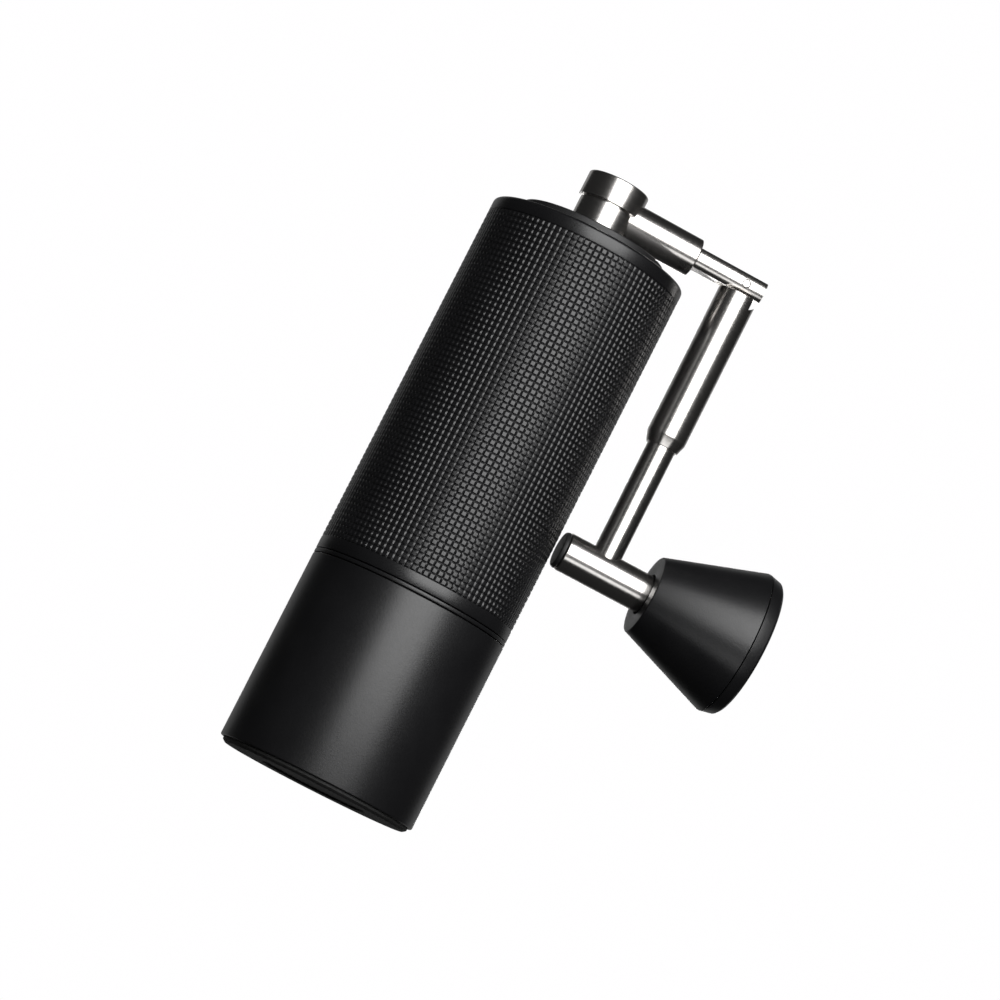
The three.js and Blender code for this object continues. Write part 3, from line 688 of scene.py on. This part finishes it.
SOCKET_X = 4.5
SOCKET_R = 5.0
TENON_HOLE_R = 2.6
TENON_HOLE_X = socket_high.x - 9
place(
    "arm_socket_turned",
    along_x(
        turned_bm(
            [
                (0, SOCKET_X), (SOCKET_R, SOCKET_X, 0.1), (SOCKET_R, socket_high.x, 0.35),
                (TENON_HOLE_R, socket_high.x, 0.1), (TENON_HOLE_R, TENON_HOLE_X), (0, TENON_HOLE_X),
            ],
            96,
        ),
        ARM_Z,
    ),
    "crank", ["arm_socket"], "polished_steel", STEEL_DRAWN,
)

FORK_R = 3.65
FORK_START_X = socket_high.x + 0.3
FORK_FLAT = 2.6
FLATS_END_X = 80
FORK_SLOT = 1.6
FORK_SLOT_REACH = 6.6
TENON_R = 2.5
TENON_X = (socket_high.x - 8.5, socket_high.x + 1)
PIN_R = 1.0
PIN_HOLE_R = 1.12
PIN_HALF = 3.55
# How far a cutting body reaches from the centre line, which is past the surface
CUT_REACH = 10


def pin_hole():
    return across_hinge(disc_bm(PIN_HOLE_R, -CUT_REACH, CUT_REACH, 48))


tenon = along_x(disc_bm(TENON_R, *TENON_X), ARM_Z)
bar = along_x(disc_bm(FORK_R, FORK_START_X, fork_high.x), ARM_Z)
flats = box_bm((0, -CUT_REACH, ARM_Z - FORK_FLAT), (FLATS_END_X, CUT_REACH, ARM_Z + FORK_FLAT))
slot_cut = box_bm(
    (HINGE_X - FORK_SLOT_REACH, -FORK_SLOT, ARM_Z - CUT_REACH),
    (fork_high.x + 1, FORK_SLOT, ARM_Z + CUT_REACH),
)
fork = combine(bar, "INTERSECT", [flats])
fork = combine(fork, "DIFFERENCE", [slot_cut])
fork = bevelled(fork, 0.22, 3)
fork = combine(fork, "DIFFERENCE", [pin_hole()])
fork = combine(fork, "UNION", [tenon])
place("hinge_fork_milled", fork, "crank", ["hinge_fork"], "polished_steel", STEEL_DRAWN)
place(
    "hinge_pin_turned",
    across_hinge(
        turned_bm([(0, -PIN_HALF), (PIN_R, -PIN_HALF, 0.2), (PIN_R, PIN_HALF, 0.2), (0, PIN_HALF)], 48)
    ),
    "crank", ["hinge_pin"], "polished_steel", STEEL_TURNED,
)

# ---------- Folding arm ----------

ROD_R = 3.7
ROD_SHOULDER_Z = ARM_Z - 6.6
EYE_R = 2.5
EYE_HALF = 1.4
rod = moved(
    turned_bm(
        [(0, rod_low.z), (ROD_R, rod_low.z, 0.2), (ROD_R, ROD_SHOULDER_Z, 0.5), (0, ROD_SHOULDER_Z)],
        96,
    ),
    x=HINGE_X,
)
eye = across_hinge(disc_bm(EYE_R, -EYE_HALF, EYE_HALF))
neck = box_bm(
    (HINGE_X - EYE_R, -EYE_HALF, ROD_SHOULDER_Z - 1), (HINGE_X + EYE_R, EYE_HALF, ARM_Z)
)
rod = combine(rod, "UNION", [neck, eye])
rod = combine(rod, "DIFFERENCE", [pin_hole()])
place("arm_rod_turned", rod, "arm", ["arm_rod"], "polished_steel", STEEL_TURNED)

SLEEVE_BORE_R = 3.85
SLEEVE_NOSE_R = 4.25
SLEEVE_R = 5.15
SLEEVE_CHAMFER_Z = sleeve_low.z + 2.8
SWEEP_R = 6.6
SWEEP_HALF = 3.95
RELIEF_X = (HINGE_X + 1, HINGE_X + 21)
sleeve = moved(
    turned_bm(
        [
            (SLEEVE_BORE_R, sleeve_low.z, 0.1), (SLEEVE_NOSE_R, sleeve_low.z, 0.15),
            (SLEEVE_R, SLEEVE_CHAMFER_Z, 0.6), (SLEEVE_R, sleeve_high.z, 0.25),
            (SLEEVE_BORE_R, sleeve_high.z, 0.15),
        ],
        96,
    ),
    x=HINGE_X,
)
# Room for the end of the fork, which passes the sleeve as the arm unfolds
sweep = across_hinge(disc_bm(SWEEP_R, -SWEEP_HALF, SWEEP_HALF))
relief_box = box_bm(
    (RELIEF_X[0], -CUT_REACH, ARM_Z - CUT_REACH), (RELIEF_X[1], CUT_REACH, ARM_Z + CUT_REACH)
)
relief = combine(sweep, "INTERSECT", [relief_box])
place(
    "lock_sleeve_turned", combine(sleeve, "DIFFERENCE", [relief]),
    "sleeve", ["lock_sleeve"], "polished_steel", STEEL_TURNED,
)

# ---------- Spindle ----------

SPINDLE_R = spindle_high.z - SPINDLE_Z
SPINDLE_SHOULDER_X = knob_low.x + 2
SPINDLE_JOURNAL_R = 2.5
SCREW_HOLE_R = 1.4
SCREW_HOLE_X = spindle_high.x - 8
ROD_HOLE_R = 3.82
ROD_HOLE_DEPTH = 1.7
spindle = along_x(
    turned_bm(
        [
            (0, spindle_low.x), (SPINDLE_R, spindle_low.x, 0.4),
            (SPINDLE_R, SPINDLE_SHOULDER_X, 0.2), (SPINDLE_JOURNAL_R, SPINDLE_SHOULDER_X),
            (SPINDLE_JOURNAL_R, spindle_high.x, 0.2), (SCREW_HOLE_R, spindle_high.x),
            (SCREW_HOLE_R, SCREW_HOLE_X), (0, SCREW_HOLE_X),
        ],
        96,
    ),
    SPINDLE_Z,
)
rod_hole = moved(disc_bm(ROD_HOLE_R, SPINDLE_Z - ROD_HOLE_DEPTH, SPINDLE_Z + CUT_REACH), x=HINGE_X)
place(
    "knob_spindle_turned", combine(spindle, "DIFFERENCE", [rod_hole]),
    "arm", ["knob_spindle"], "polished_steel", STEEL_DRAWN,
)

END_PLUG_NOSE_R = SPINDLE_R - 0.5
END_PLUG_R = SPINDLE_R - 0.1
place(
    "spindle_end_plug_moulded",
    along_x(
        turned_bm(
            [
                (0, end_plug_low.x), (END_PLUG_NOSE_R, end_plug_low.x, 0.6),
                (END_PLUG_R, end_plug_high.x, 0.15), (0, end_plug_high.x),
            ],
            64,
        ),
        SPINDLE_Z,
    ),
    "arm", ["spindle_end_plug"], "black_plastic", PLASTIC,
)

SCREW_R = 1.3
SCREW_X = spindle_high.x - 7
SCREW_HEAD_R = 4.0
SCREW_HEAD_X = spindle_high.x + 0.3
SCREW_END_X = spindle_high.x + 1.7
SCREW_KEY_R = 1.5
SCREW_KEY_X = (spindle_high.x + 0.7, spindle_high.x + 4)
screw = along_x(
    turned_bm(
        [
            (0, SCREW_X), (SCREW_R, SCREW_X, 0.1), (SCREW_R, SCREW_HEAD_X),
            (SCREW_HEAD_R, SCREW_HEAD_X, 0.1), (SCREW_HEAD_R, SCREW_END_X, 0.4), (0, SCREW_END_X),
        ],
        64,
    ),
    SPINDLE_Z,
)
screw_hex = along_x(disc_bm(SCREW_KEY_R, *SCREW_KEY_X, 6), SPINDLE_Z)
place(
    "knob_screw_turned", combine(screw, "DIFFERENCE", [screw_hex]),
    "arm", ["knob_screw"], "polished_steel", STEEL_GROUND,
)

# ---------- Knob ----------

KNOB_WIDE_R = knob_high.z - SPINDLE_Z
KNOB_NARROW_R = 10.3
KNOB_MOUTH_R = SPINDLE_R + 0.5
KNOB_MOUTH_X = knob_low.x + 3
KNOB_POCKET_R = 8.0
KNOB_BORE_R = 3.7
POCKET_X = 73.5
place(
    "knob_turned",
    along_x(
        turned_bm(
            [
                (KNOB_MOUTH_R, knob_low.x, 0.2), (KNOB_NARROW_R, knob_low.x, 0.4),
                (KNOB_WIDE_R, knob_high.x, 0.12), (KNOB_POCKET_R, knob_high.x),
                (KNOB_POCKET_R, POCKET_X), (KNOB_BORE_R, POCKET_X), (KNOB_BORE_R, KNOB_MOUTH_X),
                (KNOB_MOUTH_R, KNOB_MOUTH_X),
            ],
            160,
        ),
        SPINDLE_Z,
    ),
    "knob", ["knob"], "black_aluminium", ANODISED,
)

CAP_SPIGOT_R = 7.7
CAP_SPIGOT_X = knob_high.x - 0.9
CAP_SEAM_X = cap_low.x + 1.1
CAP_CORNER_R = KNOB_WIDE_R - 0.7
CAP_CORNER_X = cap_high.x - 0.6
CAP_EDGE_R = KNOB_WIDE_R - 1.4
CAP_DISH_R = 12.6
CAP_DISH_EDGE_R = 13.0
CAP_DISH_X = cap_high.x - 0.25
place(
    "knob_end_cap_turned",
    along_x(
        turned_bm(
            [
                (0, CAP_SPIGOT_X), (CAP_SPIGOT_R, CAP_SPIGOT_X), (CAP_SPIGOT_R, CAP_SEAM_X),
                (KNOB_WIDE_R, CAP_SEAM_X, 0.12), (CAP_CORNER_R, CAP_CORNER_X, 0.4),
                (CAP_EDGE_R, cap_high.x, 0.4), (CAP_DISH_EDGE_R, cap_high.x, 0.3),
                (CAP_DISH_R, CAP_DISH_X, 0.2), (0, CAP_DISH_X),
            ],
            160,
        ),
        SPINDLE_Z,
    ),
    "knob", ["knob_end_cap"], "black_aluminium", ANODISED,
)

KNOB_BUSH_R = (2.62, 3.58)
place(
    "knob_bush_turned", along_x(ring_bm(*KNOB_BUSH_R, KNOB_MOUTH_X, POCKET_X, 0.12), SPINDLE_Z),
    "knob", ["knob_bush"], "brass", BRASS,
)

# ---------- CAD nodes that stay, with their own finishes ----------

SLOT_FINISH = {
    "black_aluminium": ANODISED,
    "polished_steel": STEEL_TURNED,
    "bearing_steel": STEEL_GROUND,
    "burr_steel": STEEL_BURR,
    "black_plastic": PLASTIC,
    "rubber": RUBBER,
    "brass": BRASS,
}
CAD_WELD = 0.001 * MM
CAD_BEVEL = 0.12 * MM
CAD_BEVEL_ANGLE = math.radians(40)
slot_of = {row["node"]: row["material_slot"] for row in frame["record"]["subparts"]}
for node, obj in frame["nodes"].items():
    if obj.hide_render:
        continue
    obj.data.materials.clear()
    obj.data.materials.append(SLOT_FINISH[slot_of[node]])
    obj.data.polygons.foreach_set("use_smooth", [True] * len(obj.data.polygons))
    weld = obj.modifiers.new("weld", "WELD")
    weld.merge_threshold = CAD_WELD
    bevel = obj.modifiers.new("edge", "BEVEL")
    bevel.width = CAD_BEVEL
    bevel.segments = 2
    bevel.limit_method = "ANGLE"
    bevel.angle_limit = CAD_BEVEL_ANGLE
    bevel.harden_normals = True

# ---------- Floor, light and camera, in metres ----------

FLOOR_HALF = 3.0
# The floor is well below the object, because the camera is lower than its base
FLOOR_DROP = 0.27
FLOOR_GLOW = 0.92
WORLD_SEEN = 1.0
WORLD_FILL = 0.02

floor_mesh = bpy.data.meshes.new("floor")
floor_bm = bmesh.new()
bmesh.ops.create_grid(floor_bm, x_segments=1, y_segments=1, size=FLOOR_HALF)
floor_bm.to_mesh(floor_mesh)
floor_bm.free()
floor = bpy.data.objects.new("floor", floor_mesh)
floor.location = (0, 0, cad_low.z - FLOOR_DROP)
bpy.context.scene.collection.objects.link(floor)
floor_mat, _, floor_shader = new_material("pale_floor")
floor_shader.inputs["Base Color"].default_value = (0.10, 0.10, 0.10, 1)
floor_shader.inputs["Roughness"].default_value = 0.8
floor_shader.inputs["Emission Color"].default_value = (1, 1, 1, 1)
floor_shader.inputs["Emission Strength"].default_value = FLOOR_GLOW
floor_mesh.materials.append(floor_mat)
floor.visible_glossy = False
floor.visible_diffuse = False

world = bpy.data.worlds.new("studio")
bpy.context.scene.world = world
world.use_nodes = True
world_tree = world.node_tree
world_tree.nodes.clear()
path = world_tree.nodes.new("ShaderNodeLightPath")
seen = world_tree.nodes.new("ShaderNodeBackground")
seen.inputs["Color"].default_value = (1.0, 0.995, 1.0, 1)
seen.inputs["Strength"].default_value = WORLD_SEEN
fill = world_tree.nodes.new("ShaderNodeBackground")
fill.inputs["Color"].default_value = (1, 1, 1, 1)
fill.inputs["Strength"].default_value = WORLD_FILL
mix = world_tree.nodes.new("ShaderNodeMixShader")
out = world_tree.nodes.new("ShaderNodeOutputWorld")
world_tree.links.new(path.outputs["Is Camera Ray"], mix.inputs["Fac"])
world_tree.links.new(fill.outputs["Background"], mix.inputs[1])
world_tree.links.new(seen.outputs["Background"], mix.inputs[2])
world_tree.links.new(mix.outputs["Shader"], out.inputs["Surface"])
bpy.context.scene.view_settings.view_transform = "Standard"

centre = (cad_low + cad_high) / 2


def softbox(name, azimuth, elevation, distance, width, height, power):
    """An area light aimed at the object. Azimuth 0 is on the -Y side, 90 on the +X side."""
    data = bpy.data.lights.new(name, "AREA")
    data.shape = "RECTANGLE"
    data.size = width
    data.size_y = height
    data.energy = power
    light = bpy.data.objects.new(name, data)
    a, e = math.radians(azimuth), math.radians(elevation)
    back = Vector((math.sin(a) * math.cos(e), -math.cos(a) * math.cos(e), math.sin(e)))
    light.location = centre + back * distance
    light.rotation_euler = (-back).to_track_quat("-Z", "Y").to_euler()
    bpy.context.scene.collection.objects.link(light)


softbox("key_softbox", azimuth=4, elevation=23, distance=0.9, width=0.86, height=0.92, power=14)
softbox("low_card", azimuth=3, elevation=-34, distance=0.9, width=0.9, height=0.22, power=1.2)
softbox("back_card", azimuth=172, elevation=5, distance=1.2, width=2.2, height=1.6, power=3.5)
softbox("rear_key", azimuth=171, elevation=6, distance=1.0, width=0.3, height=0.3, power=2)

AIM = Vector((8.6, -2.5, 83.2)) * MM
CAMERA_DISTANCE = 1.0
CAMERA_LENS = 146.8
SENSOR_WIDTH = 36
CAMERA_AZIMUTH = math.radians(-9.51)
CAMERA_ELEVATION = math.radians(-7.12)
CAMERA_ROLL = math.radians(26.9)
back = Vector(
    (
        math.sin(CAMERA_AZIMUTH) * math.cos(CAMERA_ELEVATION),
        -math.cos(CAMERA_AZIMUTH) * math.cos(CAMERA_ELEVATION),
        math.sin(CAMERA_ELEVATION),
    )
)
camera_data = bpy.data.cameras.new("camera")
camera_data.lens = CAMERA_LENS
camera_data.sensor_width = SENSOR_WIDTH
camera = bpy.data.objects.new("camera", camera_data)
camera.rotation_mode = "QUATERNION"
camera.location = AIM + back * CAMERA_DISTANCE
upright = (-back).to_track_quat("-Z", "Y")
camera.rotation_quaternion = upright @ Matrix.Rotation(CAMERA_ROLL, 3, "Z").to_quaternion()
bpy.context.scene.collection.objects.link(camera)
bpy.context.scene.camera = camera
